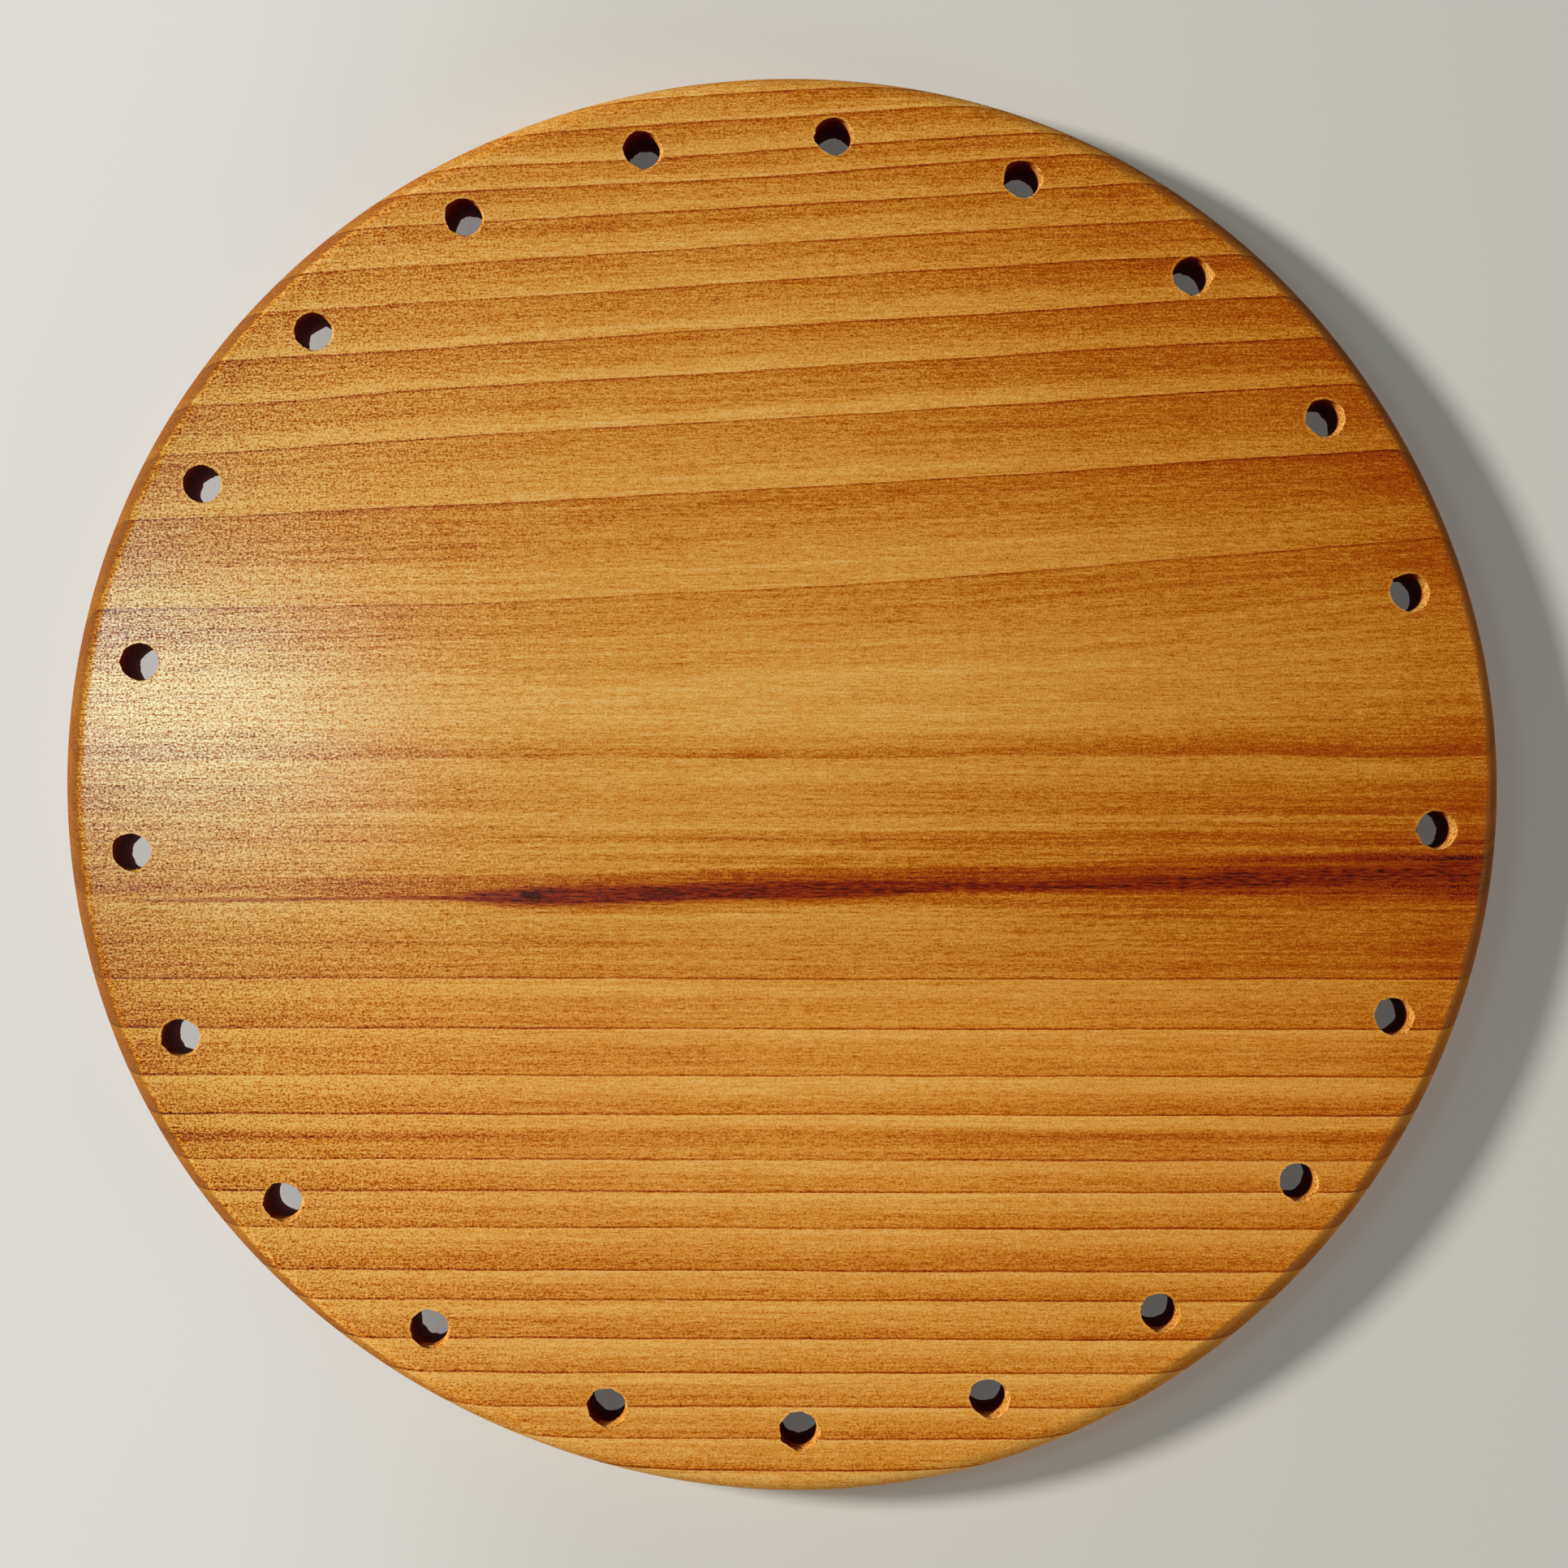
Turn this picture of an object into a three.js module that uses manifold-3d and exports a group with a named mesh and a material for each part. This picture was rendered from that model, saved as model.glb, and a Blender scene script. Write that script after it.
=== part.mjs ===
// A round base board, sawn from one flat-sawn softwood board, with a ring of
// through holes drilled just inside its rim.
//
// Units are millimetres. The underside lies on Z = 0, the origin is the middle of
// the underside, +Z points out of the top face and the grain runs along X.

import * as THREE from 'three';
import { mergeVertices } from 'three/addons/utils/BufferGeometryUtils.js';
import Module from 'manifold-3d';

// The board
const boardDiameter = 320; // measured along the grain
const boardThickness = 18;
const acrossGrain = 0.99; // the board has dried a little narrower across its grain
const topRound = 5; // radius of the rounded top edge along the sides of the grain
const endRound = 3; // and across the two ends of the grain, where the harder wood wore less
const bottomRound = 1.5; // the lower edge is only eased
const boardSides = 120;
const topRoundSteps = 6;
const bottomRoundSteps = 3;

// The rim was sawn by eye to a drawn circle, so it swings out and in of true by
// about a millimetre: two, three and five times in one turn.
const rimSwings = [
  { times: 2, reach: 0.4, startAngle: 90 },
  { times: 3, reach: 0.44, startAngle: 180 },
  { times: 5, reach: 0.33, startAngle: 26 },
];

// The ring of holes
const holeCount = 21;
const holeDiameter = 8;
const holeSides = 20;
const holeRingRadius = 146;
const wideGap = 21.1; // degrees left between the last hole and the first one
const firstHole = -3.95; // degrees from +X; the ring then runs clockwise, seen from above
const drillOvershoot = 2; // the cutters reach this far past both faces

// The ring was stepped off by hand, so its steps drift twice round the board.
const slowDrift = 0.3; // degrees
const quickDrift = 0.36; // degrees

const stainedSoftwood = new THREE.MeshStandardMaterial({
  color: new THREE.Color().setRGB(0.53, 0.24, 0.06),
  roughness: 0.38,
  metalness: 0,
});

const wasm = await Module();
wasm.setup();

// A closed three.js geometry as a solid that can be cut.
function toSolid(geometry) {
  const shape = geometry.clone();
  shape.deleteAttribute('normal');
  shape.deleteAttribute('uv');
  const merged = mergeVertices(shape, 1e-4);
  const mesh = new wasm.Mesh({
    numProp: 3,
    vertProperties: new Float32Array(merged.attributes.position.array),
    triVerts: new Uint32Array(merged.index.array),
  });
  return new wasm.Manifold(mesh);
}

// A cut solid as a three.js geometry again.
function toGeometry(solid) {
  const mesh = solid.getMesh();
  const geometry = new THREE.BufferGeometry();
  geometry.setAttribute('position', new THREE.BufferAttribute(mesh.vertProperties, 3));
  geometry.setIndex(new THREE.BufferAttribute(mesh.triVerts, 1));
  geometry.computeVertexNormals();
  return geometry;
}

// Points on a quarter circle, from one angle to the next, in degrees.
function quarterRound(centreX, centreY, radius, fromAngle, toAngle, steps) {
  const points = [];
  for (let step = 0; step <= steps; step += 1) {
    const angle = THREE.MathUtils.degToRad(THREE.MathUtils.lerp(fromAngle, toAngle, step / steps));
    points.push(new THREE.Vector2(centreX + radius * Math.cos(angle), centreY + radius * Math.sin(angle)));
  }
  return points;
}

// How far the rim stands out of the true circle at an angle in radians from +X.
function rimDeparture(angle) {
  let departure = 0;
  for (const swing of rimSwings) {
    const start = THREE.MathUtils.degToRad(swing.startAngle);
    departure += swing.reach * Math.cos(swing.times * angle + start);
  }
  return departure;
}

// The radius of the rounded top edge at an angle in radians from +X.
function topRoundAt(angle) {
  return THREE.MathUtils.lerp(topRound, endRound, Math.cos(angle) ** 6);
}

// The board's profile at an angle, from the middle of the underside, round the
// rim and back to the middle of the top face.
function profileAt(angle) {
  const rim = boardDiameter / 2 + rimDeparture(angle);
  const round = topRoundAt(angle);
  return [
    new THREE.Vector2(0, 0),
    ...quarterRound(rim - bottomRound, bottomRound, bottomRound, -90, 0, bottomRoundSteps),
    ...quarterRound(rim - round, boardThickness - round, round, 0, 90, topRoundSteps),
    new THREE.Vector2(0, boardThickness),
  ];
}

// The undrilled blank: a turned shape, with each corner moved to the profile at
// its own angle.
function boardBlank() {
  const turned = profileAt(0);
  const blank = new THREE.LatheGeometry(turned, boardSides).rotateX(Math.PI / 2);
  const corners = blank.attributes.position;
  for (let corner = 0; corner < corners.count; corner += 1) {
    const angle = Math.atan2(corners.getY(corner), corners.getX(corner));
    const point = profileAt(angle)[corner % turned.length];
    corners.setXYZ(corner, point.x * Math.cos(angle), point.x * Math.sin(angle), point.y);
  }
  return blank;
}

// Where each hole's centre stands round the ring, in degrees from +X.
function holeAngle(hole) {
  const step = (360 - wideGap) / (holeCount - 1);
  const turn = (2 * Math.PI * hole) / holeCount;
  const drift = slowDrift * Math.cos(turn) + quickDrift * Math.cos(2 * turn);
  return firstHole - step * hole - drift;
}

// One straight drill cut, upright and longer than the board is thick.
function drillCut(hole) {
  const length = boardThickness + 2 * drillOvershoot;
  const radius = holeDiameter / 2;
  const angle = THREE.MathUtils.degToRad(holeAngle(hole));
  return new THREE.CylinderGeometry(radius, radius, length, holeSides)
    .rotateX(Math.PI / 2)
    .translate(holeRingRadius * Math.cos(angle), holeRingRadius * Math.sin(angle), boardThickness / 2);
}

function baseBoard() {
  let solid = toSolid(boardBlank());
  for (let hole = 0; hole < holeCount; hole += 1) {
    solid = solid.subtract(toSolid(drillCut(hole)));
  }
  const mesh = new THREE.Mesh(toGeometry(solid), stainedSoftwood);
  mesh.name = 'base_board';
  mesh.scale.set(1, acrossGrain, 1);
  return mesh;
}

const object = new THREE.Group();
object.add(baseBoard());

export default object;
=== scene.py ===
"""A round base board of stained softwood, lying on a pale floor."""
import math

import bpy
from mathutils import Matrix, Vector


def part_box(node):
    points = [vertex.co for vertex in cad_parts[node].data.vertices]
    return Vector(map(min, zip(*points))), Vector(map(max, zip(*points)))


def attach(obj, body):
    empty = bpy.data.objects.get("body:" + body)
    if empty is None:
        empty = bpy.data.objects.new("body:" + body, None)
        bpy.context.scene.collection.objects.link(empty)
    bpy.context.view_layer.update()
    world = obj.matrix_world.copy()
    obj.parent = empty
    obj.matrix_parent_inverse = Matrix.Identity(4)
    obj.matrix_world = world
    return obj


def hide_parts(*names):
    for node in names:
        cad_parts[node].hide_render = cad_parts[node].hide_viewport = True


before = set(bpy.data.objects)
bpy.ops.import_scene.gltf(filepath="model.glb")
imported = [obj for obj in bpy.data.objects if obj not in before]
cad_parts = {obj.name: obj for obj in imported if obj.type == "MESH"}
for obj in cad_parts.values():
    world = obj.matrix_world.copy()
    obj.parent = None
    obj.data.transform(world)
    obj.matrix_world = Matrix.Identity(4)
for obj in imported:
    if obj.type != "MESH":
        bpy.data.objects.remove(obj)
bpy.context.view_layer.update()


# ---------------------------------------------------------------------------
# The blank: one flat-sawn softwood board, sawn round by eye to a drawn circle.
# Its top edge is rounded over by hand and its lower edge is only eased. It has
# dried a little narrower across its grain, which runs along X.
# ---------------------------------------------------------------------------

MM = 0.001

board_low, board_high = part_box("base_board")
board_thickness = board_high[2] - board_low[2]
board_length = board_high[0] - board_low[0]
board_width = board_high[1] - board_low[1]
sanded_off = 0.05 * MM   # keeps the finished rim just inside the CAD solid's
rim_radius = board_length / 2 - sanded_off
across_grain = board_width / board_length
side_round = 5 * MM      # radius of the top edge along the sides of the grain
end_round = 3 * MM       # and across the two ends of the grain, where the harder wood wore less
bottom_round = 1.5 * MM
bottom_round_steps = 4
top_round_steps = 14
rim_sides = 400

# Each swing of a hand-made line: how often in one turn, how far, and where it starts.
rim_swings = [(2, 0.4 * MM, 90), (3, 0.44 * MM, 180), (5, 0.33 * MM, 26)]
rounding_swings = [(4, 0.22 * MM, 40), (7, 0.16 * MM, 110), (13, 0.08 * MM, 0)]


def swing_at(angle, swings):
    """How far a hand-made line stands off its true circle at this angle."""
    return sum(reach * math.cos(times * angle + math.radians(start)) for times, reach, start in swings)


def top_round_at(angle):
    """The radius of the top edge: tighter at the two ends of the grain, and a little uneven."""
    ends = math.cos(angle) ** 6
    true_round = (1 - ends) * side_round + ends * end_round
    return true_round + swing_at(angle, rounding_swings)


def rim_profile(angle):
    """Distance out and height of each point from the underside, round the rim, to the top face."""
    rim = rim_radius + swing_at(angle, rim_swings)
    top_round = top_round_at(angle)
    points = []
    for step in range(bottom_round_steps + 1):
        turn = math.radians(-90 + 90 * step / bottom_round_steps)
        points.append((rim - bottom_round + bottom_round * math.cos(turn),
                       bottom_round + bottom_round * math.sin(turn)))
    for step in range(top_round_steps + 1):
        turn = math.radians(90 * step / top_round_steps)
        points.append((rim - top_round + top_round * math.cos(turn),
                       board_thickness - top_round + top_round * math.sin(turn)))
    return points


def sawn_blank():
    """The undrilled board: a rim of quads between two flat faces."""
    corners = []
    faces = []
    for side in range(rim_sides):
        angle = 2 * math.pi * side / rim_sides
        for reach, height in rim_profile(angle):
            corners.append((reach * math.cos(angle), across_grain * reach * math.sin(angle), height))
    levels = len(corners) // rim_sides
    for side in range(rim_sides):
        here = side * levels
        there = (side + 1) % rim_sides * levels
        for level in range(levels - 1):
            faces.append((here + level, there + level, there + level + 1, here + level + 1))
    faces.append([side * levels for side in reversed(range(rim_sides))])
    faces.append([side * levels + levels - 1 for side in range(rim_sides)])
    mesh = bpy.data.meshes.new("base_board_blank")
    mesh.from_pydata(corners, [], faces)
    return mesh


# ---------------------------------------------------------------------------
# The drilling: a ring of upright 8 mm holes, stepped off by hand and drilled
# through from the top. The bit chipped the upper rims, scored the walls, tore
# a funnel into the side that it leant to, and broke out roughly underneath.
# ---------------------------------------------------------------------------

hole_count = 21
hole_diameter = 8 * MM
ring_radius = 146 * MM
wide_gap = 21.1          # degrees between the last hole and the first one
first_hole = -3.95       # degrees from +X; the ring then runs clockwise, seen from above
slow_drift = 0.30        # degrees that the steps wander, once round the board
quick_drift = 0.36       # and twice round it
hole_step = (360 - wide_gap) / (hole_count - 1)
bit_overshoot = 0.4 * MM
bit_sides = 60
bit_levels = 40
bit_crowding = 1.8       # above 1, the bit's levels crowd towards the top
sound_rim = 0.46         # how rough the wood may be before a rim chips, from 0 to 1
torn_side = math.radians(-30)            # the side that the drill leant to
ridge_spacing = 0.3 * math.pi * MM       # from one scored ridge of a wall to the next
ridge_turns = 2 * math.pi / ridge_spacing


class Wire:
    """One output in a node tree. Sums of wires and numbers add their Math nodes."""

    def __init__(self, tree, output=None):
        self.tree = tree
        self.output = output

    def node(self, kind, settings=None, sockets=None, out=0):
        """Any other node: its settings are set first, then its sockets by name or number."""
        node = self.tree.nodes.new(kind)
        for name, setting in (settings or {}).items():
            if name == "stops":
                fill_ramp(node.color_ramp, setting)
            elif name == "curve":
                fill_curve(node.mapping, setting)
            else:
                setattr(node, name, setting)
        for name, value in (sockets or {}).items():
            if isinstance(value, Wire):
                self.tree.links.new(value.output, node.inputs[name])
            else:
                node.inputs[name].default_value = value
        return Wire(self.tree, node.outputs[out])

    def math(self, operation, *values):
        return self.node("ShaderNodeMath", {"operation": operation}, dict(enumerate(values)))

    def __add__(self, other):
        return self.math("ADD", self, other)

    def __radd__(self, other):
        return self.math("ADD", other, self)

    def __sub__(self, other):
        return self.math("SUBTRACT", self, other)

    def __rsub__(self, other):
        return self.math("SUBTRACT", other, self)

    def __mul__(self, other):
        return self.math("MULTIPLY", self, other)

    def __rmul__(self, other):
        return self.math("MULTIPLY", other, self)

    def __truediv__(self, other):
        return self.math("DIVIDE", self, other)

    def __rtruediv__(self, other):
        return self.math("DIVIDE", other, self)

    def __neg__(self):
        return self.math("MULTIPLY", self, -1.0)

    def __pow__(self, power):
        return self.math("POWER", self, power)

    def __abs__(self):
        return self.math("ABSOLUTE", self)

    def sine(self):
        return self.math("SINE", self)

    def cosine(self):
        return self.math("COSINE", self)

    def root(self):
        return self.math("SQRT", self)

    def sign(self):
        return self.math("SIGN", self)

    def dying(self):
        """1 at nothing, and less and less as this grows."""
        return self.math("EXPONENT", -self)

    def at_least(self, floor):
        return self.math("MAXIMUM", self, floor)

    def at_most(self, ceiling):
        return self.math("MINIMUM", self, ceiling)

    def rise(self, start, end):
        """A smooth step from 0 at start to 1 at end; start may be the larger."""
        low, high, first, last = (start, end, 0.0, 1.0) if start < end else (end, start, 1.0, 0.0)
        return self.node("ShaderNodeMapRange", {"interpolation_type": "SMOOTHSTEP"},
                         {0: self, 1: low, 2: high, 3: first, 4: last})

    def hump(self, middle, reach):
        """A smooth hump, 1 at the middle and fading to nothing at about twice its reach."""
        distance = (self - middle) / reach
        return (distance * distance).dying()

    def parts(self):
        """The x, y and z of a vector wire."""
        split = self.node("ShaderNodeSeparateXYZ", {}, {0: self})
        return [Wire(self.tree, output) for output in split.output.node.outputs]

    def vector(self, x, y, z):
        return self.node("ShaderNodeCombineXYZ", {}, {0: x, 1: y, 2: z})

    def noise(self, scale=1.0, detail=2.0, roughness=0.5):
        """Soft noise from 0 to 1 at this vector wire."""
        return self.node("ShaderNodeTexNoise", {},
                         {"Vector": self, "Scale": scale, "Detail": detail, "Roughness": roughness})

    def mix(self, first, second, blend="MIX"):
        """The first colour turned by the second, more as this goes from 0 to 1."""
        return self.node("ShaderNodeMix", {"data_type": "RGBA", "blend_type": blend},
                         {0: self, 6: first, 7: second}, out=2)


def fill_ramp(ramp, stops):
    """Stops are (place, colour) pairs from left to right."""
    while len(ramp.elements) > 1:
        ramp.elements.remove(ramp.elements[-1])
    ramp.elements[0].position, ramp.elements[0].color = stops[0]
    for place, colour in stops[1:]:
        ramp.elements.new(place).color = colour


def fill_curve(mapping, points):
    """Points are (input, output) pairs from left to right, joined by straight lines."""
    curve = mapping.curves[0]
    curve.points[0].location = points[0]
    curve.points[1].location = points[-1]
    for place in points[1:-1]:
        curve.points.new(*place)
    for point in curve.points:
        point.handle_type = "VECTOR"
    mapping.update()


drill_inputs = [
    ("Blank", "NodeSocketGeometry", None),
    ("Holes", "NodeSocketInt", hole_count),
    ("Ring radius", "NodeSocketFloat", ring_radius),
    ("Hole diameter", "NodeSocketFloat", hole_diameter),
    ("First hole", "NodeSocketFloat", math.radians(first_hole)),
    ("Step", "NodeSocketFloat", math.radians(hole_step)),
    ("Slow drift", "NodeSocketFloat", math.radians(slow_drift)),
    ("Quick drift", "NodeSocketFloat", math.radians(quick_drift)),
    ("Across grain", "NodeSocketFloat", across_grain),
    ("Board thickness", "NodeSocketFloat", board_thickness),
    ("Chip reach", "NodeSocketFloat", 0.55 * MM),
    ("Chip depth", "NodeSocketFloat", 0.5 * MM),
    ("Break-out reach", "NodeSocketFloat", 0.9 * MM),
    ("Break-out depth", "NodeSocketFloat", 0.8 * MM),
    ("Tear depth", "NodeSocketFloat", 0.16 * MM),
    ("Funnel reach", "NodeSocketFloat", 0.8 * MM),
    ("Funnel depth", "NodeSocketFloat", 4.5 * MM),
    ("Seed", "NodeSocketFloat", 4.0),
    ("Wood", "NodeSocketMaterial", None),
]


def drilling_tree():
    """Cuts the ring of holes out of the blank and returns the tree with its input sockets by name."""
    tree = bpy.data.node_groups.new("drilled_ring", "GeometryNodeTree")
    sockets = {name: tree.interface.new_socket(name=name, in_out="INPUT", socket_type=kind)
               for name, kind, _ in drill_inputs}
    tree.interface.new_socket(name="Board", in_out="OUTPUT", socket_type="NodeSocketGeometry")
    source = tree.nodes.new("NodeGroupInput")
    given = {name: Wire(tree, source.outputs[name]) for name in sockets}
    start = Wire(tree)

    # The ring of hole centres, half way through the board.
    hole = start.node("GeometryNodeInputIndex")
    turn = hole * (2 * math.pi) / given["Holes"]
    drift = given["Slow drift"] * turn.cosine() + given["Quick drift"] * (turn * 2.0).cosine()
    angle = given["First hole"] - given["Step"] * hole - drift
    centre = start.vector(given["Ring radius"] * angle.cosine(),
                          given["Ring radius"] * angle.sine() * given["Across grain"],
                          given["Board thickness"] / 2.0)
    ring = start.node("GeometryNodePoints", {}, {"Count": given["Holes"], "Position": centre})

    # The bit's path: a cylinder that reaches past both faces, one at each centre.
    # Its rings of faces crowd towards the top, where the torn wood shows.
    length = given["Board thickness"] + 2 * bit_overshoot
    bit = start.node("GeometryNodeMeshCylinder", {"fill_type": "NGON"},
                     {"Vertices": bit_sides, "Side Segments": bit_levels, "Fill Segments": 1,
                      "Radius": given["Hole diameter"] / 2.0, "Depth": length})
    place = start.node("GeometryNodeInputPosition")
    along = place.parts()[2]
    share_down = (0.5 - along / length).at_least(0.0)
    crowded = length * (0.5 - share_down ** bit_crowding) - along
    bit = start.node("GeometryNodeSetPosition", {},
                     {"Geometry": bit, "Offset": start.vector(0.0, 0.0, crowded)})
    bit = start.node("GeometryNodeStoreNamedAttribute", {"data_type": "FLOAT_VECTOR", "domain": "POINT"},
                     {"Geometry": bit, "Name": "off_axis", "Value": place})
    cuts = start.node("GeometryNodeInstanceOnPoints", {}, {"Points": ring, "Instance": bit})
    cuts = start.node("GeometryNodeRealizeInstances", {}, {"Geometry": cuts})

    # Chips at the upper rim, break-out below and torn fibres between them, all
    # pushed straight out from each hole's own axis.
    off_axis = start.node("GeometryNodeInputNamedAttribute", {"data_type": "FLOAT_VECTOR"},
                          {"Name": "off_axis"})
    off_x, off_y, _ = off_axis.parts()
    outward = start.node("ShaderNodeVectorMath", {"operation": "NORMALIZE"},
                         {0: start.vector(off_x, off_y, 0.0)})
    out_x, out_y, _ = outward.parts()
    x, y, z = [part / MM for part in place.parts()]
    height = place.parts()[2]
    depth = given["Board thickness"] - height
    rough = start.vector(x, y, z + given["Seed"] * 50.0).noise(0.45, 3.0)
    chip = (rough - sound_rim).at_least(0.0) * 4.0
    upper = (depth.at_least(0.0) / given["Chip depth"]).dying()
    lower = (height.at_least(0.0) / given["Break-out depth"]).dying()
    torn = start.vector(x / 1.6, y / 1.0, z / 0.5 + given["Seed"]).noise(1.0, 4.0, 0.65) - 0.5
    lean = out_x * math.cos(torn_side) + out_y * math.sin(torn_side)
    unlike = start.vector(x / 30.0, y / 30.0, given["Seed"]).noise(1.0, 0.0)
    uneven = start.vector(x / 2.2, y / 2.2, z / 3.0).noise(1.0, 2.0)
    funnel = (1.0 - depth / given["Funnel depth"]).at_least(0.0)
    funnel = lean.rise(-0.1, 0.9) * funnel * funnel * (0.2 + 0.9 * unlike + 0.9 * uneven)
    ridges = (depth * ridge_turns + uneven * 9.0).sine() * funnel.rise(0.0, 0.3)
    push = given["Chip reach"] * chip * upper * (0.45 + 0.55 * abs(out_x))
    push = push + given["Funnel reach"] * funnel + given["Tear depth"] * 0.7 * ridges
    push = push + given["Break-out reach"] * chip * lower
    push = push + given["Tear depth"] * torn * 2.0
    moved = start.node("ShaderNodeVectorMath", {"operation": "SCALE"}, {0: outward, "Scale": push})
    cuts = start.node("GeometryNodeSetPosition", {}, {"Geometry": cuts, "Offset": moved})

    board = start.node("GeometryNodeMeshBoolean", {"operation": "DIFFERENCE", "solver": "EXACT"},
                       {"Mesh 1": given["Blank"], "Mesh 2": cuts})
    board = start.node("GeometryNodeRealizeInstances", {}, {"Geometry": board})
    board = start.node("GeometryNodeSetMaterial", {}, {"Geometry": board, "Material": given["Wood"]})
    target = tree.nodes.new("NodeGroupOutput")
    tree.links.new(board.output, target.inputs[0])
    return tree, sockets


# ---------------------------------------------------------------------------
# The wood: a fast-grown softwood with its heart side up. A brown resin streak
# with two pin knots crosses it below the middle. It is rubbed with a
# honey-orange stain, most of which the grain's ends drink, and brushed with a
# satin clear coat, thicker at the left end.
# ---------------------------------------------------------------------------

# The years are cylinders round a pith that ran above the top face, a little
# aslant to the grain.

pith_height = 48.0       # mm, from the top face up to the pith
pith_offset = 18.6       # mm, from the middle, across the grain
pith_slant = 0.03        # mm across the grain for each mm along it
uphill_slant = 0.057     # the same for the years beyond the pith
year_bow = 0.00013       # how the widest of those years bend: mm for each square mm

# Where each year's growth ends on the top face, in mm across the grain from the
# middle of the board, and how dark its late growth is, on both sides of the pith.
near_years = [(-4, 0.7), (8.5, 0.1), (14.5, 0.3), (26, 0.4), (45, 0.25), (56, 0.4), (66.5, 0.2),
              (75, 0.7), (85, 0.2), (92, 0.6), (100, 0.4), (109.5, 0.8), (116, 0.4), (124.5, 1.0),
              (132, 0.5), (139.5, 0.7), (146.5, 0.6), (153.5, 0.8), (160, 0.5)]
far_years = [(42.5, 0.85), (64.5, 0.95), (80.5, 0.7), (91.5, 0.6), (101, 1.0), (111.5, 0.9),
             (119.5, 0.4), (128.5, 0.7), (136, 0.8), (141.5, 0.9), (148.5, 0.5), (154.5, 0.8),
             (160, 0.5)]
youngest = 14.0          # mm, the middle of the pale first growth
half_span = 165.0        # mm, a little past the rim
line_width = 0.5         # mm, the hard dark line at the end of a year
false_year_place = -79.5     # mm, a dark band that doesn't end a year

# The two pin knots: where each stands along and across the grain, how far it
# reaches along and across, all in mm, and how dark it is.
pin_knots = [(-55.1, -26.3, 2.4, 1.0, 1.0), (-25.5, -26.1, 5.4, 1.2, 0.55)]
knot_push = 0.9          # mm that a knot pushes the years aside

# The resin streak: where it crosses the middle of the board, its slope and its bow.
streak_middle = -25.3    # mm, across the grain
streak_slope = 0.0233
streak_bow = 0.000047

# How deep the stain went in, from 0, pale, to 1, nearly black.
even_stain = 0.365       # in plain wood
full_stain = 0.78        # past this, the wood takes up less
core_stain = 0.935       # in the core of the resin streak
knot_stain = 0.99
wall_stain_and_shade = 0.955       # on the smooth walls of the holes: stain that collected there, and painted shade

stain_colours = [
    (0.00, (0.88, 0.52, 0.160, 1.0)),        # torn bare wood
    (0.20, (0.81, 0.405, 0.082, 1.0)),       # pale honey
    (0.45, (0.71, 0.284, 0.031, 1.0)),       # honey orange
    (0.63, (0.57, 0.186, 0.007, 1.0)),       # amber
    (0.80, (0.43, 0.084, 0.0006, 1.0)),      # red brown
    (0.93, (0.25, 0.015, 0.0003, 1.0)),      # maroon
    (1.00, (0.035, 0.005, 0.002, 1.0)),      # nearly black
]
near_side_tint = (1.07, 1.0, 0.86, 1.0)
left_end_tint = (0.91, 1.0, 0.98, 1.0)
end_grain_brown = (0.31, 0.14, 0.032, 1.0)


def across_share(place):
    """Where a place across the grain comes on a curve's scale from 0 to 1."""
    return (place + half_span) / (2 * half_span)


def growth_curves():
    """Two curves of points across the grain, for the age as a share of the most and for the
    darkness, and the most."""
    most = len(near_years) + 1.0
    ages = [(-half_span, most), (youngest, 0.0), (half_span, len(far_years) + 1.0)]
    ages += [(-end, year + 1) for year, (end, _) in enumerate(near_years)]
    ages += [(end, year + 1) for year, (end, _) in enumerate(far_years)]
    darkness = [(-half_span, 0.5), (youngest, 0.0), (half_span, 0.5)]
    darkness += [(-end, dark) for end, dark in near_years] + far_years
    ages = [(across_share(place), age / most) for place, age in sorted(ages)]
    darkness = [(across_share(place), dark) for place, dark in sorted(darkness)]
    return ages, darkness, most


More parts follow.
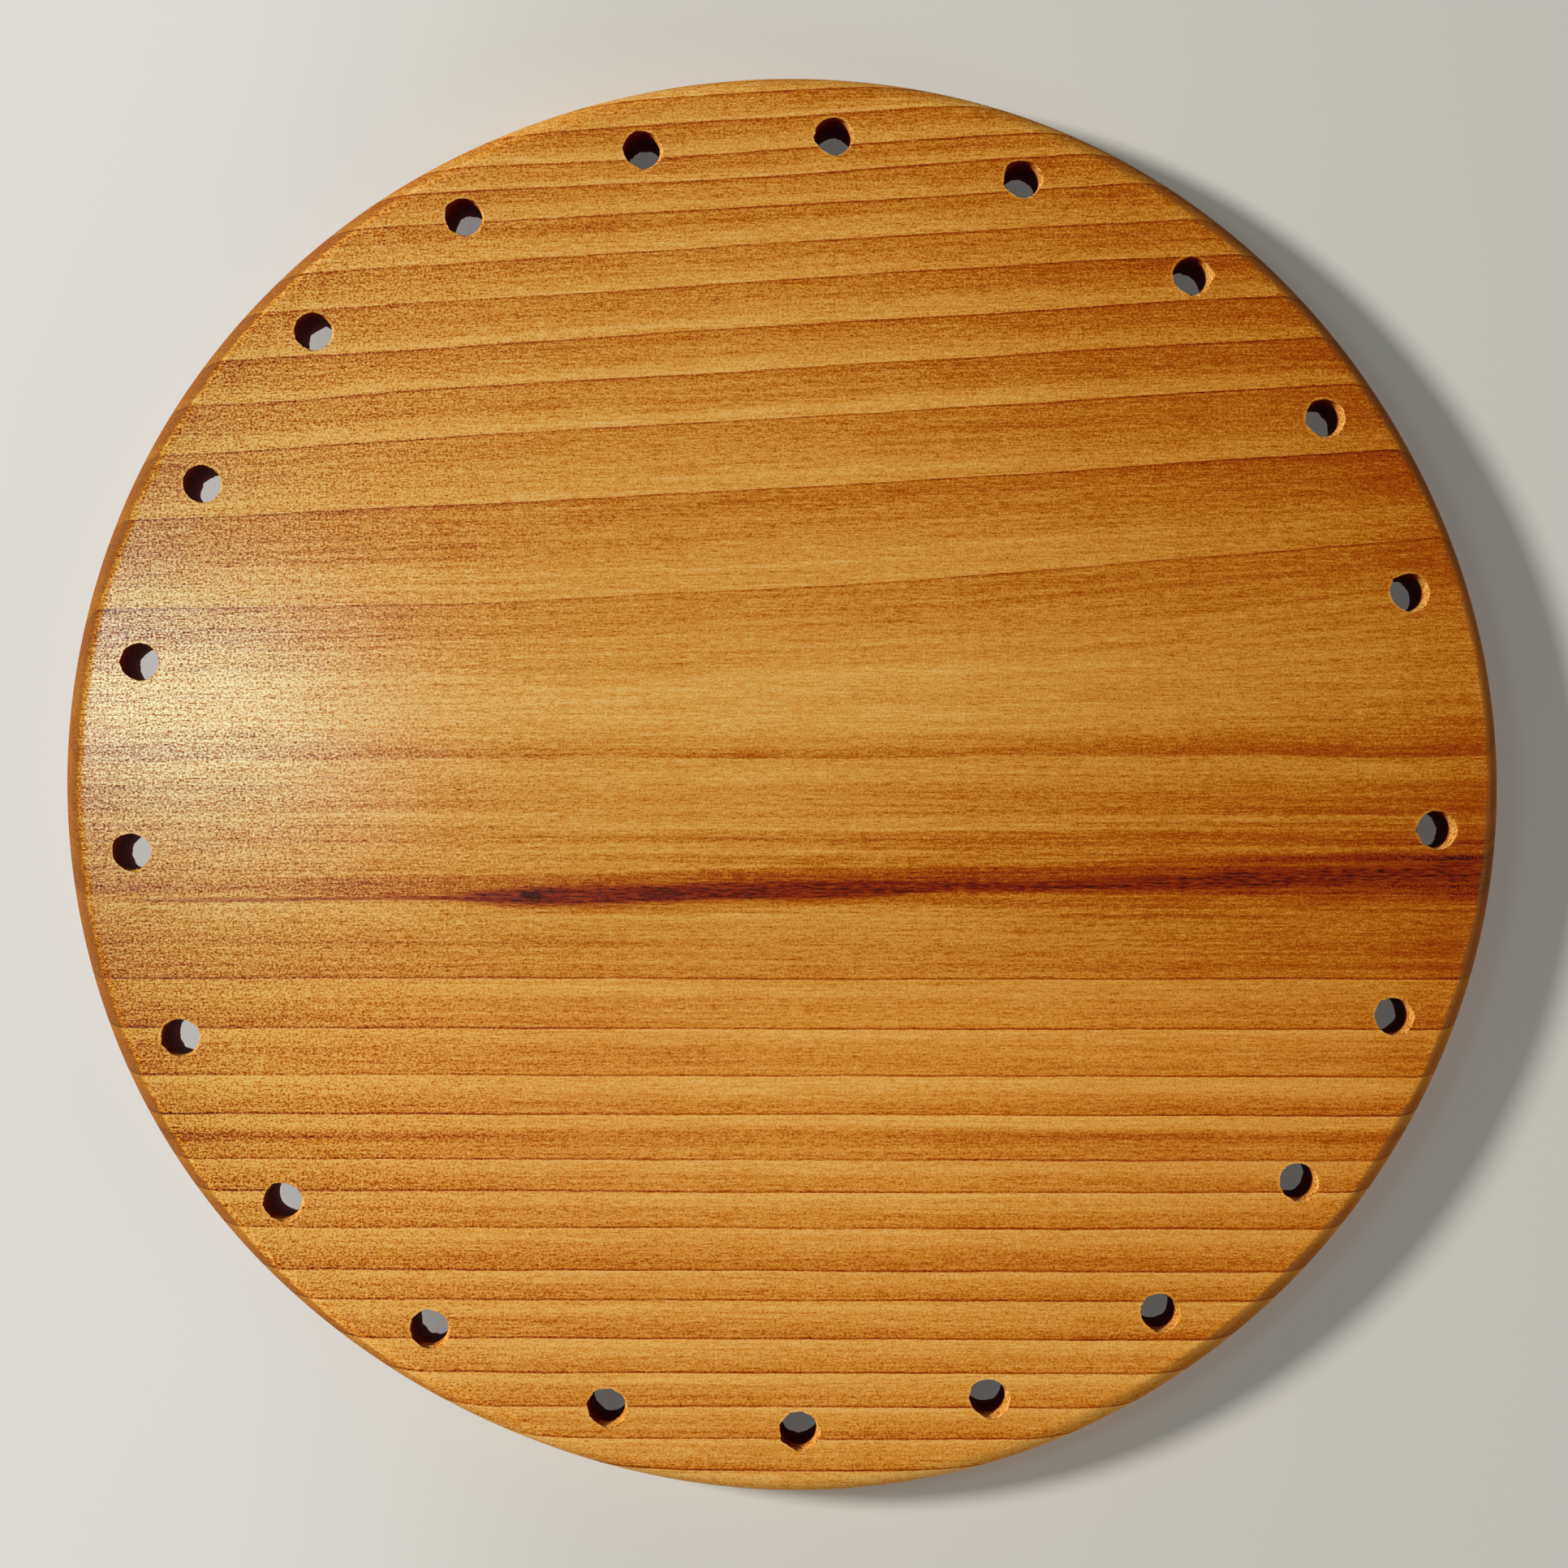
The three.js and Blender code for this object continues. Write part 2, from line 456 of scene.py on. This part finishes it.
def stained_softwood():
    material = bpy.data.materials.new("stained_softwood")
    material.use_nodes = True
    tree = material.node_tree
    tree.nodes.clear()
    start = Wire(tree)

    # Places and widths are in mm: x along the grain, y across it and z up.
    x, y, z = [part / MM for part in start.node("ShaderNodeTexCoord", out=3).parts()]
    facing_up = abs(start.node("ShaderNodeTexCoord", out=1).parts()[2])

    # The place on the top face where the same growth comes out.
    depth = (board_thickness / MM - z).at_least(0.0)
    pith = pith_offset + pith_slant * x
    aside = y - pith
    side = aside.sign()
    out_here = (aside * aside + depth * (depth + 2 * pith_height)).root()
    surfaced = pith + out_here * side

    # Beyond the pith the years run uphill to the right; slow waves bend them all.
    uphill = uphill_slant * surfaced.rise(-5.0, 50.0)
    bow = year_bow * surfaced.hump(45.0, 22.0) * x * x
    wander = start.vector(x / 150.0, surfaced / 28.0, z / 60.0).noise(1.0, 2.0) - 0.5
    ripple = start.vector(x / 38.0, surfaced / 9.0, z / 20.0).noise(1.0, 2.0) - 0.5
    tremble = start.vector(x / 5.0, surfaced / 2.0, z / 4.0).noise(1.0, 2.0) - 0.5
    across = surfaced - uphill * x - bow
    across = across + wander * (0.6 + 3.0 * surfaced.rise(-40.0, 10.0)) + ripple * 0.6 + tremble * 0.35

    # The pin knots push the years aside.
    knots = 0.0
    for knot_x, knot_y, length, width, darkest in pin_knots:
        dx = (x - knot_x) / length
        dy = (y - knot_y) / width
        wobble = (start.vector(x / 1.6, y / 0.7, z / 0.7).noise(1.0, 3.0, 0.7) - 0.5) * 2.6
        away = (dx * dx + dy * dy).root() + wobble
        knots = away.rise(1.25, 0.7) * darkest + knots
        pushed = x.hump(knot_x, length * 2.2) * y.hump(knot_y, 6.0) * (y - knot_y).sign()
        across = across - knot_push * pushed

    # The age here, and the age one line's width further out, which is past the
    # end of the year wherever the hard line shows.
    ages, darkness, most = growth_curves()
    place = across_share(across)
    further = across_share(across + line_width * side)
    age = start.node("ShaderNodeFloatCurve", {"curve": ages}, {"Value": place}) * most
    age_ahead = start.node("ShaderNodeFloatCurve", {"curve": ages}, {"Value": further}) * most
    dark = start.node("ShaderNodeFloatCurve", {"curve": darkness}, {"Value": place})
    year = age.math("FLOOR", age)
    part = age - year
    line = (age_ahead - year - 1.0).rise(-0.01, 0.02) * abs(across).rise(30.0, 42.0)
    line = line * (0.81 - 0.14 * side)

    # Streaks along the grain at four widths, soft blotches, and the grit of the
    # sanded surface.
    broad = start.vector(x / 260.0, across / 5.5, z / 40.0).noise(1.0, 3.0) - 0.5
    narrow = start.vector(x / 90.0, across / 1.3, z / 14.0).noise(1.0, 3.0, 0.6) - 0.5
    fine = start.vector(x / 16.0, y / 0.6, z / 0.6).noise(1.0, 3.0, 0.65) - 0.5
    fibre = start.vector(x / 2.6, y / 0.36, z / 0.36).noise(1.0, 2.0, 0.65) - 0.5
    mottle = start.vector(x / 14.0, y / 7.0, z / 7.0).noise(1.0, 3.0) - 0.5
    grit = start.vector(x / 0.55, y / 0.42, z / 0.42).noise(1.0, 1.0, 0.6) - 0.5

    # The end grain at both ends of the board, and the rest of the rounded edge, painted paler as painted
    # light.
    round_y = y / across_grain
    reach = (x * x + round_y * round_y).root()
    off_rim = rim_radius / MM - reach + mottle * 1.6
    end_grain = off_rim.rise(3.4, 2.4) * abs(x).rise(50.0, 110.0)
    painted_light_edge = off_rim.rise(4.5, 0.5) * (1.0 - end_grain)
    soaked_end = reach.rise(132.0, 160.0) * abs(x).rise(90.0, 150.0)

    # Late growth darkens towards the end of each year and stops at the line.
    fade = start.vector(x / 60.0, across / 3.0, z / 30.0).noise(1.0, 2.0).rise(0.25, 0.6)
    late = part.rise(0.1, 1.0) * (0.25 + 0.75 * dark)
    early = (1.0 - part.rise(0.0, 0.5)) * abs(across).rise(35.0, 60.0)
    false_year = across.hump(false_year_place, 1.6)

    # The resin streak: a dark core, widest at the knots, and stain spreading from
    # it in a narrow band above and a wide one below.
    sway = (start.vector(x / 45.0, 3.0, z / 30.0).noise(1.0, 3.0) - 0.5) * 2.0 + narrow * 1.5
    streak = y - (streak_middle + streak_slope * x + streak_bow * x * x) + sway
    core_width = 0.42 + 1.9 * x.rise(-78.0, -50.0) - 1.3 * x.rise(5.0, 50.0)
    core_width = core_width + 0.7 * x.rise(60.0, 110.0)
    core = streak.hump(0.0, core_width) * x.rise(-155.0, -125.0)
    upper_band = streak.rise(-0.5, 0.5) * streak.rise(5.4, 4.4) * x.rise(-125.0, -90.0)
    lower_reach = 5.5 + 4.5 * x.rise(20.0, 80.0)
    lower_edge = (streak / lower_reach).rise(-1.0, -0.55)
    lower_band = streak.rise(0.5, -0.5) * lower_edge * x.rise(-90.0, -55.0)
    deep_zone = y.rise(-33.0, -29.0) * y.rise(-5.0, -14.0) * x.rise(-60.0, 40.0)

    # The stain goes deepest into late wood, resin and the grain's ends. The grain
    # shows most on the left, where less stain was left on the wood.
    far_side = y.rise(-10.0, 60.0)
    near_side = y.rise(-30.0, -60.0)
    contrast = (1.15 - 0.30 * x.rise(-100.0, 120.0)) * (1.0 - 0.6 * end_grain)
    gritty = contrast * (0.90 + 1.1 * x.rise(-30.0, -130.0) + 0.30 * abs(y).rise(30.0, 110.0))
    ring_depth = 0.30 - far_side * (0.11 + 0.06 * x.rise(0.0, 100.0))
    rings = late * ring_depth - early * 0.14 + line * (0.24 + 0.14 * fade) + false_year * 0.26
    pale_heart = across.hump(20.0, 20.0) * 0.11
    # Darker at both ends: the far left is stain soaked into the end grain, and the darkening across the
    # right half is painted shade.
    end_soak_and_painted_shade = x.rise(-110.0, -160.0) * 0.08 + x.rise(-20.0, 150.0) * (0.29 - 0.16 * near_side)
    # Painted shade darkens the far side, more towards the right; painted light makes the near side
    # paler.
    painted_shade_far_side = y.rise(20.0, 150.0) * (0.065 + 0.05 * x.rise(-60.0, 80.0))
    painted_light_near_side = y.rise(-40.0, -90.0) * 0.08
    streaks = narrow * 0.56 + mottle * 0.12 + fine * 0.66 + fibre * 0.95
    resin = upper_band * 0.22 + lower_band * 0.15 + deep_zone * (0.05 + narrow * 0.5)
    soaked = end_grain * (0.15 + 0.20 * x.rise(0.0, -100.0)) + soaked_end * 0.11
    stain = even_stain + rings - pale_heart + end_soak_and_painted_shade + painted_shade_far_side - painted_light_near_side
    stain = stain + broad * (0.30 - 0.10 * far_side) + streaks * contrast + grit * gritty
    # Painted light: the rounded edge away from the end grain is made paler.
    stain = stain + resin + soaked - painted_light_edge * 0.13
    stain = stain - (stain - full_stain).at_least(0.0) * 0.60
    core = (core * (1.5 + narrow * 1.8 + fine * 0.8)).at_most(0.7 + 0.3 * x.rise(-90.0, -60.0))
    stain = stain + core * (core_stain + fine * 0.3 + fibre * 0.4 - stain)
    stain = stain + knots * (knot_stain - stain)

    # How far this point is from the axis of the nearest hole.
    turn = start.math("ARCTAN2", round_y, x) * (180 / math.pi)
    past_gap = start.math("FLOORED_MODULO", first_hole - turn + wide_gap / 2, 360.0)
    hole = start.math("ROUND", (past_gap - wide_gap / 2) / hole_step)
    hole_turn = hole * (2 * math.pi / hole_count)
    drift = slow_drift * hole_turn.cosine() + quick_drift * (hole_turn * 2.0).cosine()
    hole_angle = (first_hole - hole_step * hole - drift) * (math.pi / 180)
    from_x = x - hole_angle.cosine() * (ring_radius / MM)
    from_y = y - hole_angle.sine() * (ring_radius / MM * across_grain)
    off_axis = (from_x * from_x + from_y * from_y).root()
    in_hole = off_axis.rise(6.5, 6.0) * facing_up.rise(0.93, 0.7) * depth.rise(0.0, 0.05)
    bare_edge = off_axis.rise(4.75, 4.35) * (1.0 - in_hole)

    # The rims of the holes are worn barer. A wall is torn pale wood on the side that
    # the drill leant to, near the top, and dark elsewhere: stain that collected, and painted shade.
    stain = stain - bare_edge * 0.16
    leaning = from_x * math.cos(torn_side) + from_y * math.sin(torn_side)
    torn = (leaning / off_axis.at_least(1.0)).rise(-0.1, 0.5) * depth.rise(5.5, 3.0)
    ridged = (depth * (ridge_turns * MM) + mottle * 6.0).sine() * 0.26
    wall = wall_stain_and_shade - torn * (0.52 - fibre * 2.2 - grit * 2.0 - ridged)
    stain = stain + in_hole * (wall - stain)

    # The colour that the stain gives: warmer below the streak, browner on the
    # grain's ends and a little cooler at the far left.
    colour = start.node("ShaderNodeValToRGB", {"stops": stain_colours}, {"Fac": stain})
    colour = near_side.mix(colour, near_side_tint, "MULTIPLY")
    colour = (end_grain * 0.5).mix(colour, end_grain_brown)
    colour = x.rise(-80.0, -150.0).mix(colour, left_end_tint, "MULTIPLY")

    # The clear coat lies on the flat face only, thinner towards the right and
    # broken up by the grain, and the grain stands up a little under it.
    varnished = facing_up.rise(0.97, 0.998) * off_rim.rise(3.4, 5.0)
    roughness = 0.45 + narrow * 0.12 + (1.0 - varnished) * 0.4
    glossy_end = 1.0 - 0.7 * x.rise(-80.0, 40.0)
    sheen = (varnished * glossy_end * (0.70 - grit * 3.6 - fine * 1.5)).at_least(0.0).at_most(1.0)
    height = fibre * 0.030 + fine * 0.014 + grit * 0.080 + late * 0.02 - line * 0.03 - knots * 0.08
    bump = start.node("ShaderNodeBump", {}, {"Strength": 1.0, "Distance": 1 * MM, "Height": height})
    surface = start.node("ShaderNodeBsdfPrincipled", {}, {
        "Base Color": colour, "Roughness": roughness, "Normal": bump,
        "Specular IOR Level": 0.1, "Coat Weight": sheen, "Coat Roughness": 0.20, "Coat IOR": 1.8})
    output = tree.nodes.new("ShaderNodeOutputMaterial")
    tree.links.new(surface.output, output.inputs["Surface"])
    return material


def drilled_board():
    blank = bpy.data.objects.new("blank", sawn_blank())
    bpy.context.scene.collection.objects.link(blank)
    tree, sockets = drilling_tree()
    drilling = blank.modifiers.new("drilling", "NODES")
    drilling.node_group = tree
    for name, _, value in drill_inputs:
        if value is not None:
            drilling[sockets[name].identifier] = value
    drilling[sockets["Wood"].identifier] = stained_softwood()
    evaluated = blank.evaluated_get(bpy.context.evaluated_depsgraph_get())
    mesh = bpy.data.meshes.new_from_object(evaluated)
    bpy.data.objects.remove(blank)
    mesh.name = "board"
    if "off_axis" in mesh.attributes:
        mesh.attributes.remove(mesh.attributes["off_axis"])
    mesh.shade_smooth()
    mesh.set_sharp_from_angle(angle=math.radians(45))
    board = bpy.data.objects.new("board", mesh)
    bpy.context.scene.collection.objects.link(board)
    weigh = board.modifiers.new("even_shading", "WEIGHTED_NORMAL")
    weigh.keep_sharp = True
    return board


board = drilled_board()
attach(board, "root")
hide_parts("base_board")


# ---------------------------------------------------------------------------
# The floor: a wide sheet of pale warm-grey paper. It glows faintly, and more on
# the side of the main lamp, where its own tone is darker, so it stays even in
# the light and shows pale through the holes there.
# ---------------------------------------------------------------------------

floor_reach = 6.0        # metres each way
paper_grey = (0.61, 0.585, 0.54, 1.0)
paper_grey_by_lamp = (0.25, 0.24, 0.22, 1.0)
paper_glow = (0.09, 0.088, 0.083, 1.0)
paper_glow_by_lamp = (0.48, 0.467, 0.445, 1.0)
floor_mesh = bpy.data.meshes.new("floor")
floor_corners = [(-floor_reach, -floor_reach, 0), (floor_reach, -floor_reach, 0),
                 (floor_reach, floor_reach, 0), (-floor_reach, floor_reach, 0)]
floor_mesh.from_pydata(floor_corners, [], [(0, 1, 2, 3)])
floor = bpy.data.objects.new("floor", floor_mesh)
bpy.context.scene.collection.objects.link(floor)
paper = bpy.data.materials.new("floor_paper")
paper.use_nodes = True
paper_surface = paper.node_tree.nodes["Principled BSDF"]
lamp_side = Wire(paper.node_tree).node("ShaderNodeTexCoord", out=3).parts()[0].rise(-0.03, -0.14)
tone = lamp_side.mix(paper_grey, paper_grey_by_lamp)
glow = lamp_side.mix(paper_glow, paper_glow_by_lamp)
paper.node_tree.links.new(tone.output, paper_surface.inputs["Base Color"])
paper.node_tree.links.new(glow.output, paper_surface.inputs["Emission Color"])
paper_surface.inputs["Roughness"].default_value = 0.9
paper_surface.inputs["Emission Strength"].default_value = 1.0
floor_mesh.materials.append(paper)


# ---------------------------------------------------------------------------
# The light: a main lamp low on the left, a weak panel above, which the clear
# coat mirrors as a bright patch on the left, a weak fill from the near right,
# and an even sky. The panel is green-blue, so that its patch is neutral over
# the orange wood.
# ---------------------------------------------------------------------------

def lamp(name, place, size, watts, colour):
    """An oval area lamp that faces the middle of the board; places and sizes in metres."""
    light = bpy.data.lights.new(name, "AREA")
    light.shape = "ELLIPSE"
    light.size, light.size_y = size
    light.energy = watts
    light.color = colour
    holder = bpy.data.objects.new(name, light)
    holder.location = place
    holder.rotation_euler = (-Vector(place)).to_track_quat("-Z", "Y").to_euler()
    bpy.context.scene.collection.objects.link(holder)


lamp("low_left_lamp", (-1.48, 0.32, 1.11), (0.32, 0.32), 38.0, (1.0, 0.98, 0.95))
lamp("overhead_panel", (-0.390, 0.080, 0.95), (0.10, 0.26), 0.70, (0.62, 1.0, 0.92))
lamp("right_fill", (0.95, -0.50, 0.36), (0.5, 0.5), 3.0, (1.0, 0.93, 0.84))

sky = bpy.data.worlds.new("even_sky")
sky.use_nodes = True
sky_light = sky.node_tree.nodes["Background"]
sky_light.inputs["Color"].default_value = (0.93, 0.95, 1.0, 1.0)
sky_light.inputs["Strength"].default_value = 0.06
bpy.context.scene.world = sky
bpy.context.scene.view_settings.view_transform = "Standard"


# ---------------------------------------------------------------------------
# The camera: it stands over the board, a little to its near right, and looks
# down at the middle of the top face.
# ---------------------------------------------------------------------------

camera_place = Vector((12 * MM, -20 * MM, 620 * MM))
camera_aim = Vector((1.1 * MM, -1.5 * MM, 18 * MM))
backward = (camera_place - camera_aim).normalized()
rightward = Vector((0, 1, 0)).cross(backward).normalized()
upward = backward.cross(rightward)
camera = bpy.data.objects.new("camera", bpy.data.cameras.new("camera"))
camera.data.sensor_width = 36
camera.data.lens = 62.1
turn = Matrix((rightward, upward, backward)).transposed().to_4x4()
camera.matrix_world = Matrix.Translation(camera_place) @ turn
bpy.context.scene.collection.objects.link(camera)
bpy.context.scene.camera = camera
